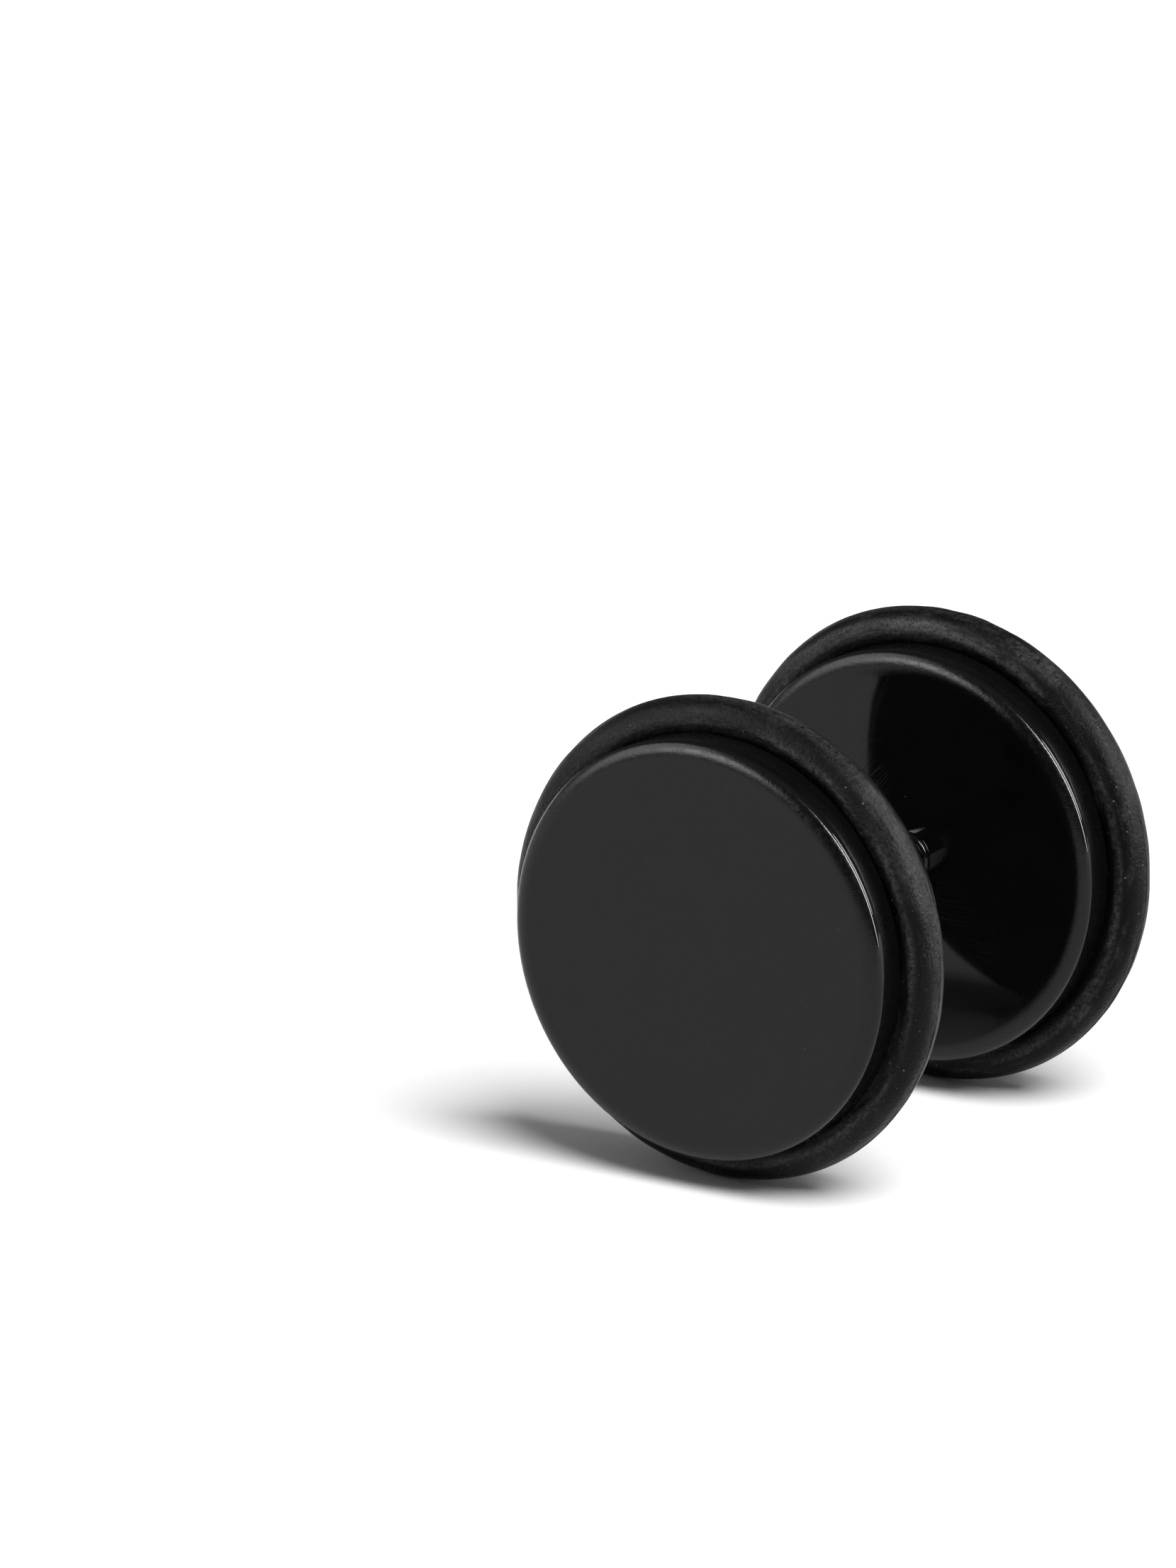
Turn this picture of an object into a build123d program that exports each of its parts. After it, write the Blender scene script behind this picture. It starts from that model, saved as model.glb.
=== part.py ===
from build123d import *
import os

# An earring that looks like a thick ear plug: two round black discs on a thin steel post that goes
# through an ordinary piercing, each disc with a rubber ring seated in a groove round its edge.
# Millimetres. The post runs along Y, the worn face looks towards -Y, and +Z is up. The part lies
# on its two rubber rings, and the origin is on that surface, midway between the discs.

# Driving sizes
disc_diameter = 10.0
disc_thickness = 3.0
lobe_gap = 6.2             # between the discs' inner faces, where the ear lobe goes
edge_inset = 0.45          # how far the rounded edge reaches in over the face
edge_drop = 0.25           # how far it comes down the disc's side
ring_section = 1.1         # thickness of the rubber
ring_proud = 0.78          # how far the rubber stands out of the disc's side
ring_gap = 0.02            # between the rubber and its groove
ring_mesh_steps = 76       # straight steps round a ring once it is meshed
post_diameter = 1.2        # the part that shows between the discs
post_edge = 0.08           # radius that breaks the edge of each shoulder
spigot_diameter = 0.8      # the post's thinner ends, inside the discs
spigot_length = 1.9
tip_chamfer = 0.1
boss_diameter = 1.36       # low rounded boss on a disc, round the mouth of its hole
boss_height = 0.12
shoulder_gap = 0.02        # between the post's shoulder and the boss
hole_gap = 0.03            # all round a spigot in its hole
hole_lead = 0.05           # chamfer at the mouth of the hole
hole_spare = 0.2           # left under a spigot's tip

# Worked out from them
disc_radius = disc_diameter / 2
ring_outer_radius = disc_radius + ring_proud
ring_tube_radius = ring_section / 2
ring_centre_radius = ring_outer_radius - ring_tube_radius
disc_centre_y = (lobe_gap + disc_thickness) / 2
axis_height = ring_outer_radius
ring_turn = 180 / ring_mesh_steps   # degrees that set a meshed ring down on a step, not on a corner
shank_length = lobe_gap - 2 * (boss_height + shoulder_gap)
hole_radius = spigot_diameter / 2 + hole_gap
hole_depth = boss_height + shoulder_gap + spigot_length + hole_spare


def turned(outline):
    """Turns a half outline, drawn in X and Y by the given function, about the Y axis."""
    with BuildPart() as body:
        with BuildSketch(Plane.XY):
            with BuildLine():
                outline()
            make_face()
        revolve(axis=Axis.Y)
    return body.part


def disc_outline():
    """Half of a disc about its own middle, with the boss on its +Y face."""
    half = disc_thickness / 2
    face_radius = disc_radius - edge_inset
    side_top = half - edge_drop
    boss_radius = boss_diameter / 2
    Line((0, -half), (0, half + boss_height))
    Line((0, half + boss_height), (boss_radius - boss_height, half + boss_height))
    CenterArc((boss_radius - boss_height, half), boss_height, 90, -90)
    Line((boss_radius, half), (face_radius, half))
    EllipticalCenterArc((face_radius, side_top), edge_inset, edge_drop, 90, arc_size=-90)
    Line((disc_radius, side_top), (disc_radius, -side_top))
    EllipticalCenterArc((face_radius, -side_top), edge_inset, edge_drop, 0, arc_size=-90)
    Line((face_radius, -half), (0, -half))


def post_outline():
    """Half of the post about its own middle: a shank between two shoulders, and a spigot each way."""
    half = shank_length / 2
    tip = half + spigot_length
    shank_radius = post_diameter / 2
    spigot_radius = spigot_diameter / 2
    flat_radius = shank_radius - post_edge
    Line((0, -tip), (0, tip))
    for way, first_angle in ((1, 90), (-1, 270)):
        Line((0, way * tip), (spigot_radius - tip_chamfer, way * tip))
        Line((spigot_radius - tip_chamfer, way * tip), (spigot_radius, way * (tip - tip_chamfer)))
        Line((spigot_radius, way * (tip - tip_chamfer)), (spigot_radius, way * half))
        Line((spigot_radius, way * half), (flat_radius, way * half))
        CenterArc((flat_radius, way * (half - post_edge)), post_edge, first_angle, -90 * way)
    Line((shank_radius, half - post_edge), (shank_radius, post_edge - half))


def post_hole():
    """The blind hole for a spigot, from the top of the boss down into the disc."""
    mouth = Plane((0, disc_thickness / 2 + boss_height, 0), z_dir=(0, -1, 0))
    from_mouth = (Align.CENTER, Align.CENTER, Align.MIN)
    hole = mouth * Cylinder(hole_radius, hole_depth, align=from_mouth)
    lead = mouth * Cone(hole_radius + hole_lead, hole_radius, hole_lead, align=from_mouth)
    return hole + lead


def ring_solid(extra=0.0):
    """The rubber ring about the disc's middle, or with extra the room that its groove gives it."""
    about_y = Plane((0, 0, 0), z_dir=(0, 1, 0))
    return about_y * Torus(ring_centre_radius, ring_tube_radius + extra)


def disc():
    """A disc whose inner face, with the post hole in it, looks towards +Y."""
    return turned(disc_outline) - ring_solid(ring_gap) - post_hole()


def place(shape, y):
    """Moves a shape made about the origin to its place along the post's axis."""
    return Pos(0, y, axis_height) * shape


half_turn = Rot(0, 0, 180)
pieces = {
    "front_disc": place(disc(), -disc_centre_y),
    "front_o_ring": place(Rot(0, ring_turn, 0) * ring_solid(), -disc_centre_y),
    "post": place(turned(post_outline), 0),
    "back_disc": place(half_turn * disc(), disc_centre_y),
    "back_o_ring": place(Rot(0, -ring_turn, 0) * ring_solid(), disc_centre_y),
}

os.makedirs("parts", exist_ok=True)
for name, shape in pieces.items():
    solid = shape.solid()
    export_step(solid, f"parts/{name}.step")
    print(name, "volume", round(solid.volume, 3))
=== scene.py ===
import math
import random

import bmesh
import bpy
from mathutils import Matrix, Quaternion, Vector


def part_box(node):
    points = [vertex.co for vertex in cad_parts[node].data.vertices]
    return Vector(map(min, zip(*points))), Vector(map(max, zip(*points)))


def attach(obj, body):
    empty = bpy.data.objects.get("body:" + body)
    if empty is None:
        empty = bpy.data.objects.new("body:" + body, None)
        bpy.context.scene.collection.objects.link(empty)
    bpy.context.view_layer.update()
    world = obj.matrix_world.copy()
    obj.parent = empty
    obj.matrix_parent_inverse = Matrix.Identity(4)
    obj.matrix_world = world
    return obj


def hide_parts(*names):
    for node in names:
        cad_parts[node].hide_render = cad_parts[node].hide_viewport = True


# An earring that looks like a thick ear plug: two glossy black discs on a thin steel post, each with
# a satin rubber ring in a groove round its edge. Metres, +Z up, the post along Y, the worn face
# towards -Y. It lies on its two rubber rings on a pale floor.

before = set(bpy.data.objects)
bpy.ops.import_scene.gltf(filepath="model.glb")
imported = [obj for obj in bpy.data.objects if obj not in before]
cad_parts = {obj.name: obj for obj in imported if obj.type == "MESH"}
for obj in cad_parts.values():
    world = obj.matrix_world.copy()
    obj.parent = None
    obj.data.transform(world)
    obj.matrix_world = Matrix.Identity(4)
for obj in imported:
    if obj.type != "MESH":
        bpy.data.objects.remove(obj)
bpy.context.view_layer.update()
MM = 0.001

# Sizes that come from the frame
disc_low, disc_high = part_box("front_disc")
ring_low, ring_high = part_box("front_o_ring")
post_low, post_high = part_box("post")
AXIS_Z = (ring_low.z + ring_high.z) / 2
DISC_RADIUS = (disc_high.x - disc_low.x) / 2
DISC_MIDDLE = -(ring_low.y + ring_high.y) / 2      # from the middle of the post to a disc's middle
DISC_HALF = -disc_low.y - DISC_MIDDLE
BOSS_HEIGHT = disc_high.y + DISC_MIDDLE - DISC_HALF
RING_OUTER = (ring_high.x - ring_low.x) / 2
RING_TUBE = (ring_high.y - ring_low.y) / 2
RING_CENTRE = RING_OUTER - RING_TUBE
POST_RADIUS = (post_high.x - post_low.x) / 2
POST_TIP = post_high.y

# Sizes that the frame's boxes don't give
EDGE_INSET = 0.45 * MM         # how far a disc's rounded edge reaches in over its face
EDGE_DROP = 0.25 * MM          # how far it comes down the disc's side
RING_GAP = 0.02 * MM           # between the rubber and its groove
BOSS_RADIUS = 0.68 * MM
HOLE_RADIUS = 0.43 * MM
HOLE_LEAD = 0.05 * MM
HOLE_DEPTH = 2.24 * MM
SPIGOT_RADIUS = 0.4 * MM
SPIGOT_LENGTH = 1.9 * MM
TIP_CHAMFER = 0.1 * MM
POST_EDGE = 0.08 * MM
FLOOR_RADIUS = 3.0

# How finely the pieces are made
TURNED_STEPS = 360
EDGE_STEPS = 28
GROOVE_STEPS = 32
BOSS_STEPS = 12
POST_EDGE_STEPS = 10
SUPPORT = 0.03 * MM            # width of the narrow band that keeps a flat face's shading flat
SHARP_ANGLE = math.radians(32)
RING_STEPS = 480
TUBE_STEP = 5                  # degrees
FLOOR_STEPS = 96

# The rubber rings' own forms
MOULD_STEPS = (0.8, 1.6, 2.6, 3.8)   # degrees: closer steps on both sides of the mould line
MOULD_WIDTH = 1.9              # degrees from its middle at which the line has sunk to about a third
MOULD_HEIGHT = 0.008 * MM
UNEVEN = 0.014 * MM            # how far the rubber's surface dips at most
UNEVEN_WAVES = 14
WAVES_ROUND_RING = (2, 34)     # how many times a wave rises on its way round the ring, from and to
WAVES_ROUND_TUBE = (-3, 3)     # and round its section, where the sign is the way that it slants
SEED = 11

# Colours as red, green, blue and alpha
PLASTIC_DARK = (0.0016, 0.0016, 0.0016, 1)
PLASTIC_PALE = (0.0028, 0.0028, 0.0028, 1)
PLASTIC_DUST = (0.09, 0.09, 0.088, 1)
RUBBER_FRESH = (0.0022, 0.0022, 0.0022, 1)
# Pale wear, also used for the painted reflection beside the groove
RUBBER_WEAR_AND_SHEEN = (0.052, 0.052, 0.051, 1)
RUBBER_DUST = (0.11, 0.11, 0.107, 1)
# Painted light: this pale dust on the top of the back ring also stands in for light falling there
TOP_LIGHT_AND_DUST = (0.10, 0.10, 0.098, 1)
STEEL_CLEAN = (0.36, 0.36, 0.365, 1)
STEEL_DULL = (0.28, 0.28, 0.285, 1)
CARD_DARK = (0.84, 0.84, 0.84, 1)
CARD_PALE = (0.88, 0.88, 0.88, 1)

# The camera, fitted to the outlines in the photo
PHOTO_WIDTH = 1659
PHOTO_HEIGHT = 2212
SENSOR = 36.0                  # in millimetres, as Blender takes it, along the photo's longer side
VIEW_AZIMUTH = math.radians(33.314)
VIEW_ELEVATION = math.radians(16.215)
VIEW_DISTANCE = 285.036 * MM
FOCAL_PIXELS = 17186.4
MIDDLE_PIXEL = (1177.19, 1255.33)   # where the middle of the post falls in the photo
NEAR_CLIP = 0.01
FAR_CLIP = 10.0

# How far the lights stand from the earring
NEAR_LIGHT = 0.5
FAR_LIGHT = 2.0

# The surroundings: the general shade, and zones over it as azimuth, elevation, the angles within which
# a zone is full and gone (all in degrees), and its own shade. Later zones lie over earlier ones.
WORLD_SHADE = 0.30
WORLD_ZONES = (
    (180, 12, 22, 50, 0.45),      # on the left
    (110, 25, 35, 65, 0.10),      # behind
    (10, 0, 22, 42, 0.20),        # on the right
    (-72, 12, 22, 48, 0.06),      # in front, where the camera is
    (-121, -4, 5, 22, 0.85),      # low in front, on the left
)


def arc(centre, radii, first, last, steps):
    """Points (along, radius) of an elliptical arc; 0 degrees points outwards and 90 along the axis."""
    points = []
    for i in range(steps + 1):
        angle = math.radians(first + (last - first) * i / steps)
        along = centre[0] + radii[0] * math.sin(angle)
        points.append((along, centre[1] + radii[1] * math.cos(angle)))
    return points


def disc_outline():
    """Half of a disc, from the centre of its worn face to the bottom of its hole."""
    face_radius = DISC_RADIUS - EDGE_INSET
    edge_along = DISC_HALF - EDGE_DROP
    edge = (EDGE_DROP, EDGE_INSET)
    groove = RING_TUBE + RING_GAP
    lip = math.degrees(math.acos((DISC_RADIUS - RING_CENTRE) / groove))
    top = DISC_HALF + BOSS_HEIGHT
    boss_flat = BOSS_RADIUS - BOSS_HEIGHT
    outline = [(-DISC_HALF, 0), (-DISC_HALF, face_radius / 2), (-DISC_HALF, face_radius - SUPPORT)]
    outline += arc((-edge_along, face_radius), edge, -90, 0, EDGE_STEPS)
    outline += arc((0, RING_CENTRE), (groove, groove), -lip, lip - 360, GROOVE_STEPS)
    outline += arc((edge_along, face_radius), edge, 0, 90, EDGE_STEPS)
    outline += [(DISC_HALF, face_radius - SUPPORT), (DISC_HALF, face_radius / 2)]
    outline += [(DISC_HALF, BOSS_RADIUS + SUPPORT)]
    outline += arc((DISC_HALF, boss_flat), (BOSS_HEIGHT, BOSS_HEIGHT), 0, 90, BOSS_STEPS)
    outline += [(top, HOLE_RADIUS + HOLE_LEAD), (top - HOLE_LEAD, HOLE_RADIUS)]
    outline += [(top - HOLE_DEPTH, HOLE_RADIUS), (top - HOLE_DEPTH, 0)]
    return outline


def post_outline():
    """Half of the post, from one tip to the other."""
    shoulder = POST_TIP - SPIGOT_LENGTH
    flat = POST_RADIUS - POST_EDGE
    round_at = shoulder - POST_EDGE
    end = [(POST_TIP, 0), (POST_TIP, SPIGOT_RADIUS - TIP_CHAMFER)]
    end += [(POST_TIP - TIP_CHAMFER, SPIGOT_RADIUS), (shoulder, SPIGOT_RADIUS)]
    end += arc((round_at, flat), (POST_EDGE, POST_EDGE), 90, 0, POST_EDGE_STEPS)
    other = [(-along, radius) for along, radius in reversed(end)]
    return end + other


def finish_mesh(name, verts, faces):
    """Makes a smooth closed mesh object with its faces turned outwards and its real edges sharp."""
    mesh = bpy.data.meshes.new(name)
    mesh.from_pydata(verts, [], faces)
    work = bmesh.new()
    work.from_mesh(mesh)
    bmesh.ops.recalc_face_normals(work, faces=work.faces)
    work.to_mesh(mesh)
    work.free()
    mesh.shade_smooth()
    mesh.set_sharp_from_angle(angle=SHARP_ANGLE)
    piece = bpy.data.objects.new(name, mesh)
    bpy.context.scene.collection.objects.link(piece)
    return piece


def turned_piece(name, outline, middle, way):
    """Turns an outline about the post's axis.

    Its along values are counted from middle, towards +Y if way is 1 and towards -Y if it is -1.
    """
    verts, rows, faces = [], [], []
    for along, radius in outline:
        y = middle + way * along
        first = len(verts)
        if radius == 0:
            verts.append((0, y, AXIS_Z))
            rows.append([first] * TURNED_STEPS)
            continue
        for i in range(TURNED_STEPS):
            angle = 2 * math.pi * i / TURNED_STEPS
            verts.append((radius * math.cos(angle), y, AXIS_Z + radius * math.sin(angle)))
        rows.append(list(range(first, first + TURNED_STEPS)))
    for low, high in zip(rows, rows[1:]):
        for i in range(TURNED_STEPS):
            j = (i + 1) % TURNED_STEPS
            corners = dict.fromkeys((low[i], low[j], high[j], high[i]))
            faces.append(tuple(corners))
    return finish_mesh(name, verts, faces)


def tube_angles():
    """Angles round the rubber's section, in degrees from its outermost point, closer at the mould line."""
    extra = [way * step for step in MOULD_STEPS for way in (1, -1)]
    even = [i * TUBE_STEP for i in range(360 // TUBE_STEP)]
    return sorted(set(even + [angle % 360 for angle in extra]))


def uneven_surface(seed):
    """A slow unevenness over the rubber, from 0 to 1, as a function of the two angles in radians."""
    draw = random.Random(seed)
    waves = []
    for i in range(UNEVEN_WAVES):
        round_ring = draw.randint(*WAVES_ROUND_RING)
        round_tube = draw.randint(*WAVES_ROUND_TUBE)
        waves.append((round_ring, round_tube, draw.uniform(0, 2 * math.pi)))

    def level(turn, tube):
        total = sum(math.sin(a * turn + b * tube + c) for a, b, c in waves)
        return 0.5 + 0.5 * max(-1, min(1, total / math.sqrt(UNEVEN_WAVES)))

    return level


def ring_piece(name, middle, seed):
    """A rubber ring about the post's axis, a little uneven, with the fine mould line round its outside."""
    level = uneven_surface(seed)
    angles = tube_angles()
    verts, faces = [], []
    for i in range(RING_STEPS):
        turn = 2 * math.pi * i / RING_STEPS
        for degrees in angles:
            tube = math.radians(degrees)
            from_line = min(degrees, 360 - degrees) / MOULD_WIDTH
            raised = MOULD_HEIGHT * math.exp(-from_line * from_line)
            dip = UNEVEN * level(turn, tube) * (1 - raised / MOULD_HEIGHT)
            section = RING_TUBE - MOULD_HEIGHT + raised - dip
            radius = RING_CENTRE + section * math.cos(tube)
            y = middle + section * math.sin(tube)
            verts.append((radius * math.cos(turn), y, AXIS_Z + radius * math.sin(turn)))
    count = len(angles)
    for i in range(RING_STEPS):
        here, there = i * count, (i + 1) % RING_STEPS * count
        for j in range(count):
            k = (j + 1) % count
            faces.append((here + j, there + j, there + k, here + k))
    return finish_mesh(name, verts, faces)


class Nodes:
    """A material's node tree, with short calls for the nodes that the finishes below are made of.

    Where a call takes a value, it is a number or another node's output. Lengths are in millimetres,
    but for a bump's distance, which is in metres.
    """

    def __init__(self, name):
        self.material = bpy.data.materials.new(name)
        self.material.use_nodes = True
        self.tree = self.material.node_tree
        self.shader = self.tree.nodes["Principled BSDF"]
        self.places = self.make("ShaderNodeTexCoord").outputs["Object"]

    def make(self, kind, **settings):
        """Adds a node and gives it its settings."""
        node = self.tree.nodes.new(kind)
        for key, value in settings.items():
            setattr(node, key, value)
        return node

    def put(self, socket, value):
        """Links an output to a socket, or sets the socket's own value."""
        if isinstance(value, bpy.types.NodeSocket):
            self.tree.links.new(value, socket)
        else:
            socket.default_value = value

    def math(self, operation, a, b=0.0, c=0.0):
        """The result of a math node's operation on up to three values."""
        node = self.make("ShaderNodeMath", operation=operation)
        for socket, value in zip(node.inputs, (a, b, c)):
            self.put(socket, value)
        return node.outputs[0]

    def product(self, first, *others):
        """All the values multiplied with each other."""
        for other in others:
            first = self.math("MULTIPLY", first, other)
        return first

    def in_mm(self, stretch=(1, 1, 1), turn=(0, 0, 0)):
        """The place on the object in millimetres, turned by degrees and stretched."""
        turned = self.make("ShaderNodeMapping", vector_type="POINT")
        self.put(turned.inputs["Vector"], self.places)
        self.put(turned.inputs["Rotation"], [math.radians(a) for a in turn])
        scaled = self.make("ShaderNodeVectorMath", operation="MULTIPLY")
        self.put(scaled.inputs[0], turned.outputs[0])
        self.put(scaled.inputs[1], [s / MM for s in stretch])
        return scaled.outputs[0]

    def noise(self, scale, detail=2.0, roughness=0.5, where=None):
        """Soft noise between 0 and 1, with about scale waves to the millimetre, or to a unit of where."""
        node = self.make("ShaderNodeTexNoise")
        self.put(node.inputs["Vector"], where or self.in_mm())
        self.put(node.inputs["Scale"], scale)
        self.put(node.inputs["Detail"], detail)
        self.put(node.inputs["Roughness"], roughness)
        return node.outputs["Fac"]

    def spread(self, value, low, high, to_low=0.0, to_high=1.0):
        """Takes low to high onto to_low to to_high, smoothly, and holds it there outside."""
        node = self.make("ShaderNodeMapRange", interpolation_type="SMOOTHSTEP")
        for socket, number in zip(node.inputs, (value, low, high, to_low, to_high)):
            self.put(socket, number)
        return node.outputs[0]

    def mix(self, factor, a, b):
        """Colour a where factor is 0, colour b where it is 1."""
        node = self.make("ShaderNodeMix", data_type="RGBA")
        self.put(node.inputs["Factor"], factor)
        self.put(node.inputs[6], a)
        self.put(node.inputs[7], b)
        return node.outputs[2]

    def bump(self, height, strength, distance, under=None):
        """A normal that follows height, laid over the bump under it if there is one."""
        node = self.make("ShaderNodeBump")
        self.put(node.inputs["Height"], height)
        self.put(node.inputs["Strength"], strength)
        self.put(node.inputs["Distance"], distance)
        if under is not None:
            self.put(node.inputs["Normal"], under)
        return node.outputs[0]

    def from_axis(self):
        """Where a place is, as seen from the middle of the post: across it, along it and above it."""
        parts = self.make("ShaderNodeSeparateXYZ")
        self.put(parts.inputs[0], self.in_mm())
        above = self.math("SUBTRACT", parts.outputs["Z"], AXIS_Z / MM)
        return parts.outputs["X"], parts.outputs["Y"], above

    def radius(self):
        """How far a place is from the post's axis."""
        across, _, above = self.from_axis()
        squares = self.math("ADD", self.product(across, across), self.product(above, above))
        return self.math("SQRT", squares)

    def streaks(self, scale, stretch, detail=2.0, roughness=0.5):
        """Noise drawn out round the post's axis: stretch times as long round it as across it."""
        across, along, above = self.from_axis()
        radius = self.radius()
        around = RING_CENTRE / MM / stretch
        where = self.make("ShaderNodeCombineXYZ")
        self.put(where.inputs[0], self.product(self.math("DIVIDE", across, radius), around))
        self.put(where.inputs[1], self.product(self.math("DIVIDE", above, radius), around))
        self.put(where.inputs[2], along)
        node = self.make("ShaderNodeTexNoise", noise_dimensions="4D")
        self.put(node.inputs["Vector"], where.outputs[0])
        self.put(node.inputs["W"], radius)
        self.put(node.inputs["Scale"], scale)
        self.put(node.inputs["Detail"], detail)
        self.put(node.inputs["Roughness"], roughness)
        return node.outputs["Fac"]

    def specks(self, per_mm, size, share, turn=(0, 0, 0)):
        """Sparse round specks: 1 inside a speck, 0 elsewhere. share is the part of the cells with one."""
        node = self.make("ShaderNodeTexVoronoi")
        self.put(node.inputs["Vector"], self.in_mm(turn=turn))
        self.put(node.inputs["Scale"], per_mm)
        inside = self.spread(node.outputs["Distance"], size * per_mm, size * per_mm * 0.5)
        parts = self.make("ShaderNodeSeparateColor")
        self.put(parts.inputs[0], node.outputs["Color"])
        return self.product(inside, self.math("LESS_THAN", parts.outputs[0], share))

    def scratches(self, turn, share):
        """Fine straight hairlines one way across the surface: 1 on a hairline, 0 elsewhere."""
        lines = self.noise(1.0, 0.0, 0.5, self.in_mm((0.35, 0.35, 11.0), turn))
        near = self.math("ABSOLUTE", self.math("SUBTRACT", lines, 0.5))
        patches = self.noise(0.6, 1.0, 0.5, self.in_mm(turn=turn))
        return self.product(self.spread(near, 0.012, 0.0), self.spread(patches, share, share + 0.12))


def black_disc_finish():
    """Polished black plastic: a faint swell, hairlines, edges less polished than the faces, fine dust."""
    n = Nodes("polished_black")
    dust = n.math("MAXIMUM", n.specks(2.3, 0.016, 0.10), n.specks(5.1, 0.007, 0.16, (31, 17, 50)))
    hairs = n.math("MAXIMUM", n.scratches((20, 0, 65), 0.58), n.scratches((-35, 40, 10), 0.60))
    radius = n.radius()
    face, side = (DISC_RADIUS - EDGE_INSET) / MM, DISC_RADIUS / MM
    edge = n.product(n.spread(radius, face - 0.22, side - 0.15), n.spread(radius, side - 0.008, side - 0.07))
    clouds = n.noise(0.9, 3.0, 0.55)
    polish = n.math("MULTIPLY_ADD", clouds, 0.03, 0.03)
    polish = n.math("MULTIPLY_ADD", edge, n.spread(n.noise(9.0, 3.0), 0.3, 0.7, 0.10, 0.26), polish)
    polish = n.math("MULTIPLY_ADD", hairs, 0.12, polish)
    n.put(n.shader.inputs["Roughness"], n.math("MULTIPLY_ADD", dust, 0.6, polish))
    shade = n.mix(clouds, PLASTIC_DARK, PLASTIC_PALE)
    n.put(n.shader.inputs["Base Color"], n.mix(dust, shade, PLASTIC_DUST))
    n.put(n.shader.inputs["IOR"], 1.47)
    n.put(n.shader.inputs["Specular IOR Level"], 0.252)
    swell = n.bump(n.noise(0.7, 1.0), 0.05, 0.05 * MM)
    grain = n.bump(n.product(edge, n.noise(22.0, 3.0, 0.6)), 0.8, 0.007 * MM, swell)
    n.put(n.shader.inputs["Normal"], n.bump(n.math("SUBTRACT", dust, hairs), 0.3, 0.001 * MM, grain))
    return n.material


def pale_wear_and_sheen(n, radius, streaks, wear):
    """Where the rubber is paler: wear in patches and where it is widest, and a painted reflection in a line
    beside its groove.
    """
    centre, outer = RING_CENTRE / MM, RING_OUTER / MM
    patches = n.spread(n.streaks(1.3, 3.0, 4.0, 0.62), 0.46, 0.62)
    rubbed = n.spread(radius, outer - 0.10, outer - 0.01)
    rising = n.spread(radius, centre - 0.10, centre + 0.06)
    # Painted reflection: a pale line beside the groove, where the rubber's sheen shows the floor
    groove_sheen_band = n.product(rising, n.spread(radius, centre + 0.24, centre + 0.08))
    worn_and_sheen = n.math("MAXIMUM", n.product(patches, 0.35 * wear), n.product(rubbed, 0.7))
    worn_and_sheen = n.math("MAXIMUM", worn_and_sheen, groove_sheen_band)
    return n.product(worn_and_sheen, n.spread(streaks, 0.32, 0.64), n.spread(n.noise(9.0, 4.0, 0.7), 0.28, 0.70))


def top_light_and_dust(n, radius, streaks, grain, top_light):
    """Paler streaks along the upper part of the ring: dust, and painted light where the top catches more
    light. The last argument is how pale they get at most.
    """
    centre = RING_CENTRE / MM
    _, _, above = n.from_axis()
    upper = n.product(n.spread(above, 3.0, 5.2), n.spread(streaks, 0.36, 0.66, 0.0, top_light))
    upper = n.product(upper, n.spread(radius, centre - 0.05, centre + 0.14))
    upper = n.product(upper, n.spread(radius, centre + 0.42, centre + 0.26))
    return n.product(upper, n.spread(grain, 0.30, 0.62))


def rubber_finish(name, roughness, gloss, wear, top_light):
    """Satin black rubber: matt, drawn out in streaks round the ring, with paler patches of wear, dust and a
    painted reflection beside the groove.

    The last argument is how pale the upper part of the ring is painted, as dust and as light from above,
    from 0 to 1.
    """
    n = Nodes(name)
    radius = n.radius()
    streaks = n.streaks(2.8, 6.0, 4.0, 0.62)
    grain = n.noise(13.0, 4.0, 0.65)
    dust = n.math("MAXIMUM", n.specks(3.2, 0.026, 0.55), n.specks(7.3, 0.013, 0.50, (12, 63, 25)))
    worn_and_sheen = pale_wear_and_sheen(n, radius, streaks, wear)
    # Paler for wear and for the painted reflection beside the groove
    shade = n.mix(worn_and_sheen, RUBBER_FRESH, RUBBER_WEAR_AND_SHEEN)
    # Painted light and dust: the upper part of the ring is made paler
    shade = n.mix(top_light_and_dust(n, radius, streaks, grain, top_light), shade, TOP_LIGHT_AND_DUST)
    n.put(n.shader.inputs["Base Color"], n.mix(dust, shade, RUBBER_DUST))
    rough = n.math("MULTIPLY_ADD", worn_and_sheen, 0.12, roughness)
    rough = n.math("MULTIPLY_ADD", grain, 0.08, rough)
    n.put(n.shader.inputs["Roughness"], n.math("MULTIPLY_ADD", dust, 0.2, rough))
    n.put(n.shader.inputs["IOR"], 1.5)
    n.put(n.shader.inputs["Specular IOR Level"], gloss)
    drawn = n.bump(streaks, 1.0, 0.038 * MM)
    dents = n.bump(n.noise(5.2, 3.0, 0.6), 1.0, 0.020 * MM, drawn)
    fine = n.bump(grain, 1.0, 0.026 * MM, dents)
    n.put(n.shader.inputs["Normal"], n.bump(dust, 0.6, 0.006 * MM, fine))
    return n.material


def steel_finish():
    """Turned and polished steel: fine rings round the post, a little dulled in patches."""
    n = Nodes("turned_steel")
    rings = n.noise(1.0, 3.0, 0.7, n.in_mm((0.8, 46.0, 0.8)))
    dull = n.spread(n.noise(2.2, 3.0, 0.6), 0.4, 0.75)
    n.put(n.shader.inputs["Base Color"], n.mix(dull, STEEL_CLEAN, STEEL_DULL))
    n.put(n.shader.inputs["Metallic"], 1.0)
    rough = n.math("MULTIPLY_ADD", dull, 0.05, 0.04)
    n.put(n.shader.inputs["Roughness"], n.math("MULTIPLY_ADD", rings, 0.04, rough))
    n.put(n.shader.inputs["Normal"], n.bump(rings, 0.15, 0.001 * MM))
    return n.material


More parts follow.
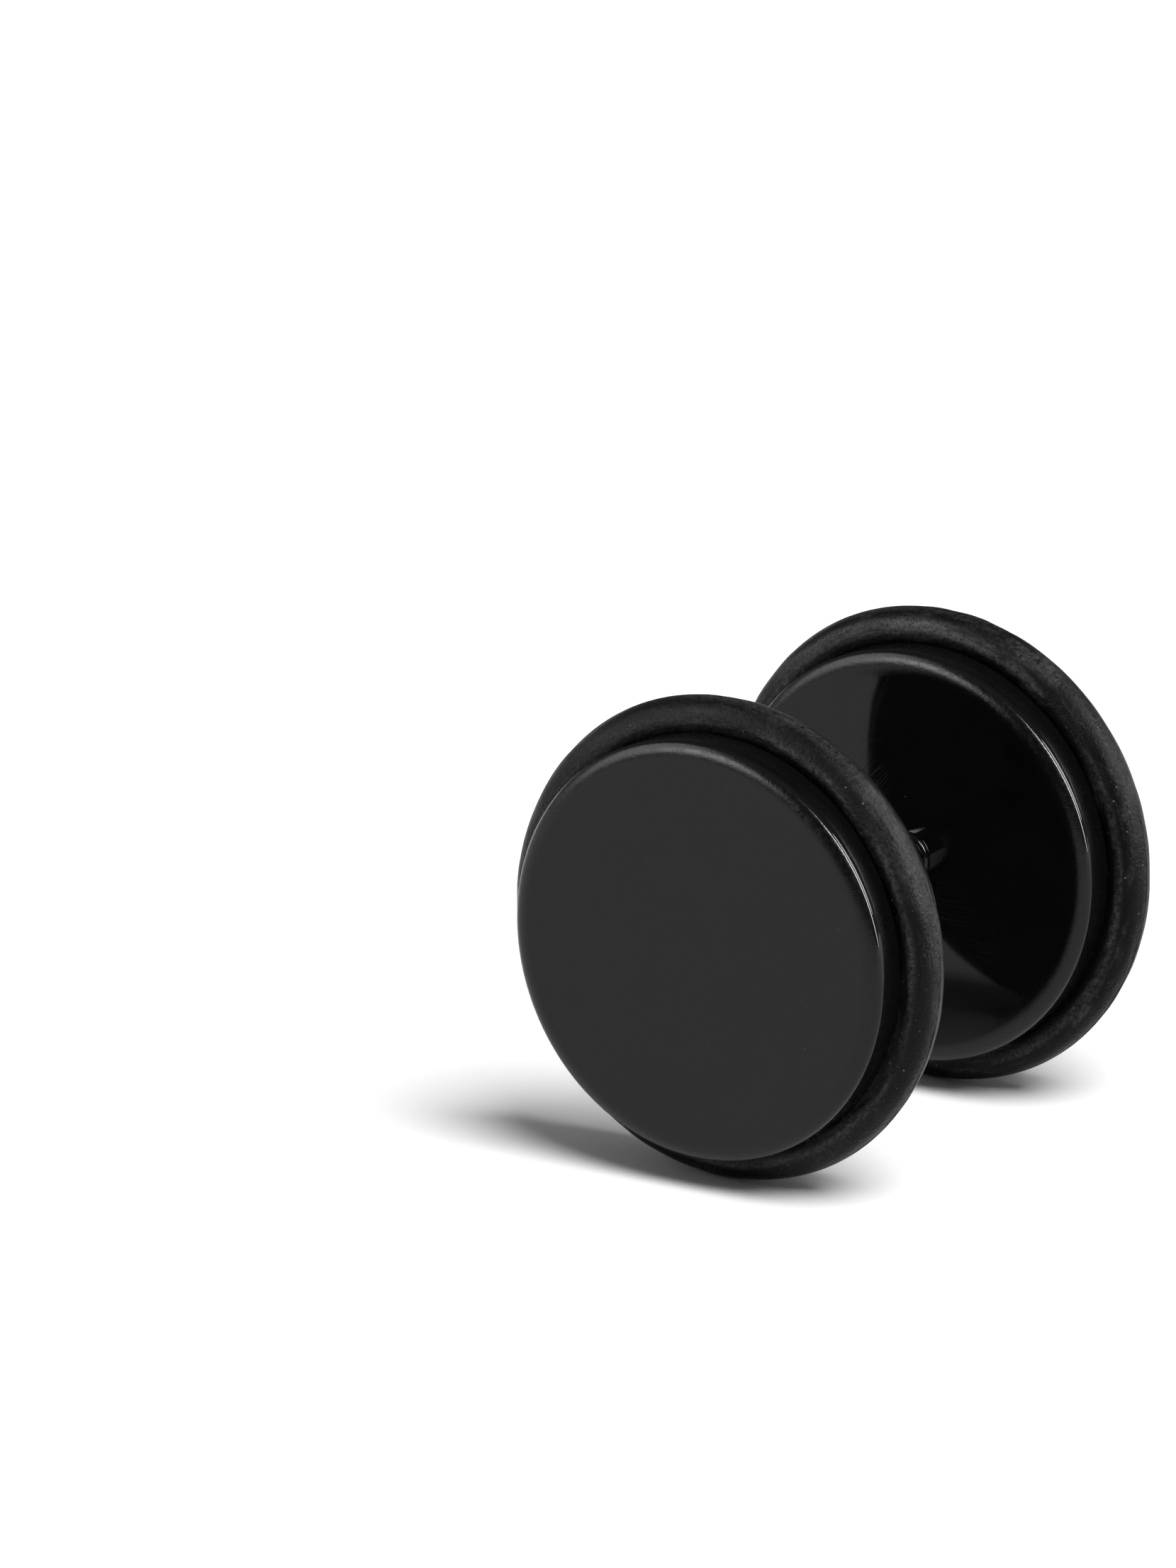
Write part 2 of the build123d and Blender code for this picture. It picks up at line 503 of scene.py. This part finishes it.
def floor_finish():
    """Plain pale card."""
    n = Nodes("pale_card")
    clouds = n.noise(0.004, 2.0)
    n.put(n.shader.inputs["Base Color"], n.mix(clouds, CARD_DARK, CARD_PALE))
    n.put(n.shader.inputs["Roughness"], 0.85)
    n.put(n.shader.inputs["Specular IOR Level"], 0.2)
    return n.material


def dress(piece, body, node, finish):
    """Gives a piece its finish and its body, and hides the node that it stands for."""
    piece.data.materials.append(finish)
    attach(piece, body)
    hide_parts(node)


def make_earring():
    """The five pieces, each on its body: two discs, their rubber rings and the post."""
    black, steel = black_disc_finish(), steel_finish()
    front_rubber = rubber_finish("satin_rubber", roughness=0.27, gloss=0.092, wear=1.3, top_light=0.0)
    # The back ring's upper part is painted paler, as dust and as light from above
    back_rubber = rubber_finish("dusty_top_lit_rubber", roughness=0.28, gloss=0.068, wear=2.4, top_light=0.75)
    front_disc = turned_piece("front_disc_turned", disc_outline(), -DISC_MIDDLE, 1)
    back_disc = turned_piece("back_disc_turned", disc_outline(), DISC_MIDDLE, -1)
    front_ring = ring_piece("front_rubber_ring", -DISC_MIDDLE, SEED)
    back_ring = ring_piece("back_rubber_ring", DISC_MIDDLE, SEED + 1)
    post = turned_piece("post_turned", post_outline(), 0, 1)
    dress(front_disc, "front_end", "front_disc", black)
    dress(back_disc, "back_end", "back_disc", black)
    dress(front_ring, "front_end", "front_o_ring", front_rubber)
    dress(back_ring, "back_end", "back_o_ring", back_rubber)
    dress(post, "front_end", "post", steel)


def make_floor():
    """A round pale floor, wide enough to fill the view."""
    verts = [(0, 0, 0)]
    for i in range(FLOOR_STEPS):
        angle = 2 * math.pi * i / FLOOR_STEPS
        verts.append((FLOOR_RADIUS * math.cos(angle), FLOOR_RADIUS * math.sin(angle), 0))
    faces = [(0, 1 + i, 1 + (i + 1) % FLOOR_STEPS) for i in range(FLOOR_STEPS)]
    mesh = bpy.data.meshes.new("floor")
    mesh.from_pydata(verts, [], faces)
    mesh.materials.append(floor_finish())
    floor = bpy.data.objects.new("floor", mesh)
    bpy.context.scene.collection.objects.link(floor)


def direction_to(azimuth, elevation):
    """The direction from the earring at these angles in degrees: azimuth 0 is +X and 90 is +Y."""
    turn, rise = math.radians(azimuth), math.radians(elevation)
    return Vector((math.cos(turn) * math.cos(rise), math.sin(turn) * math.cos(rise), math.sin(rise)))


def area_light(name, towards, across, radiance, lean=0, distance=NEAR_LIGHT, sheen_only=True):
    """A soft oval light that faces the earring.

    towards is its azimuth and elevation, across its width and height, and lean how far its top leans to
    lower azimuths, all in degrees. A sheen_only light shows in glossy reflections and nowhere else, and
    any other light doesn't show in them.
    """
    data = bpy.data.lights.new(name, "AREA")
    data.shape = "ELLIPSE"
    data.size = 2 * distance * math.tan(math.radians(across[0] / 2))
    data.size_y = 2 * distance * math.tan(math.radians(across[1] / 2))
    # The power is the radiance times pi times the oval's area, pi / 4 * width * height
    data.energy = radiance * math.pi * math.pi / 4 * data.size * data.size_y
    light = bpy.data.objects.new(name, data)
    direction = direction_to(*towards)
    light.location = Vector((0, 0, AXIS_Z)) + direction * distance
    light.rotation_mode = "QUATERNION"
    leaning = Quaternion((0, 0, 1), math.radians(lean))
    light.rotation_quaternion = direction.to_track_quat("Z", "Y") @ leaning
    light.visible_camera = False
    if sheen_only:
        light.visible_diffuse = False
    else:
        light.visible_glossy = False
    bpy.context.scene.collection.objects.link(light)


def make_lights():
    """A tall window on the right in two parts, two soft lights on the left and one from above."""
    area_light("window_core", towards=(-1, 30), across=(8, 72), radiance=46.0, lean=27)
    area_light("window_wide", towards=(34, 29), across=(22, 44), radiance=18.5, lean=27)
    area_light("left_fill", towards=(-118, 23), across=(24, 21), radiance=11.0)
    area_light("left_wide", towards=(-146, 30), across=(40, 50), radiance=3.6)
    area_light("ceiling", towards=(-20, 58), across=(40, 40), radiance=12.3,
               distance=FAR_LIGHT, sheen_only=False)


def make_world():
    """Grey surroundings: the general shade with each zone laid over it."""
    world = bpy.data.worlds.new("surroundings")
    world.use_nodes = True
    bpy.context.scene.world = world
    tree = world.node_tree
    places = tree.nodes.new("ShaderNodeTexCoord")
    shade = None
    for azimuth, elevation, inner, outer, radiance in WORLD_ZONES:
        along = tree.nodes.new("ShaderNodeVectorMath")
        along.operation = "DOT_PRODUCT"
        along.inputs[1].default_value = direction_to(azimuth, elevation)
        zone = tree.nodes.new("ShaderNodeMapRange")
        zone.interpolation_type = "SMOOTHSTEP"
        zone.inputs["From Min"].default_value = math.cos(math.radians(outer))
        zone.inputs["From Max"].default_value = math.cos(math.radians(inner))
        mixed = tree.nodes.new("ShaderNodeMix")
        mixed.data_type = "RGBA"
        mixed.inputs[6].default_value = (WORLD_SHADE, WORLD_SHADE, WORLD_SHADE, 1)
        mixed.inputs[7].default_value = (radiance, radiance, radiance, 1)
        tree.links.new(places.outputs["Generated"], along.inputs[0])
        tree.links.new(along.outputs["Value"], zone.inputs["Value"])
        tree.links.new(zone.outputs[0], mixed.inputs["Factor"])
        if shade is not None:
            tree.links.new(shade, mixed.inputs[6])
        shade = mixed.outputs[2]
    tree.links.new(shade, tree.nodes["Background"].inputs["Color"])


def make_camera():
    """The photo's own view: the middle of the post falls on its pixel at the fitted distance."""
    back = Vector((
        math.sin(VIEW_AZIMUTH) * math.cos(VIEW_ELEVATION),
        -math.cos(VIEW_AZIMUTH) * math.cos(VIEW_ELEVATION),
        math.sin(VIEW_ELEVATION),
    ))
    right = Vector((math.cos(VIEW_AZIMUTH), math.sin(VIEW_AZIMUTH), 0))
    up = back.cross(right)
    across = (MIDDLE_PIXEL[0] - PHOTO_WIDTH / 2) / FOCAL_PIXELS
    down = (MIDDLE_PIXEL[1] - PHOTO_HEIGHT / 2) / FOCAL_PIXELS
    to_middle = (right * across - up * down - back).normalized() * VIEW_DISTANCE
    data = bpy.data.cameras.new("camera")
    data.sensor_width = SENSOR
    data.lens = SENSOR * FOCAL_PIXELS / PHOTO_HEIGHT
    data.clip_start, data.clip_end = NEAR_CLIP, FAR_CLIP
    camera = bpy.data.objects.new("camera", data)
    turn = Matrix((right, up, back)).transposed().to_4x4()
    camera.matrix_world = Matrix.Translation(Vector((0, 0, AXIS_Z)) - to_middle) @ turn
    bpy.context.scene.collection.objects.link(camera)
    bpy.context.scene.camera = camera


make_earring()
make_floor()
make_lights()
make_world()
make_camera()
bpy.context.scene.view_settings.view_transform = "Standard"
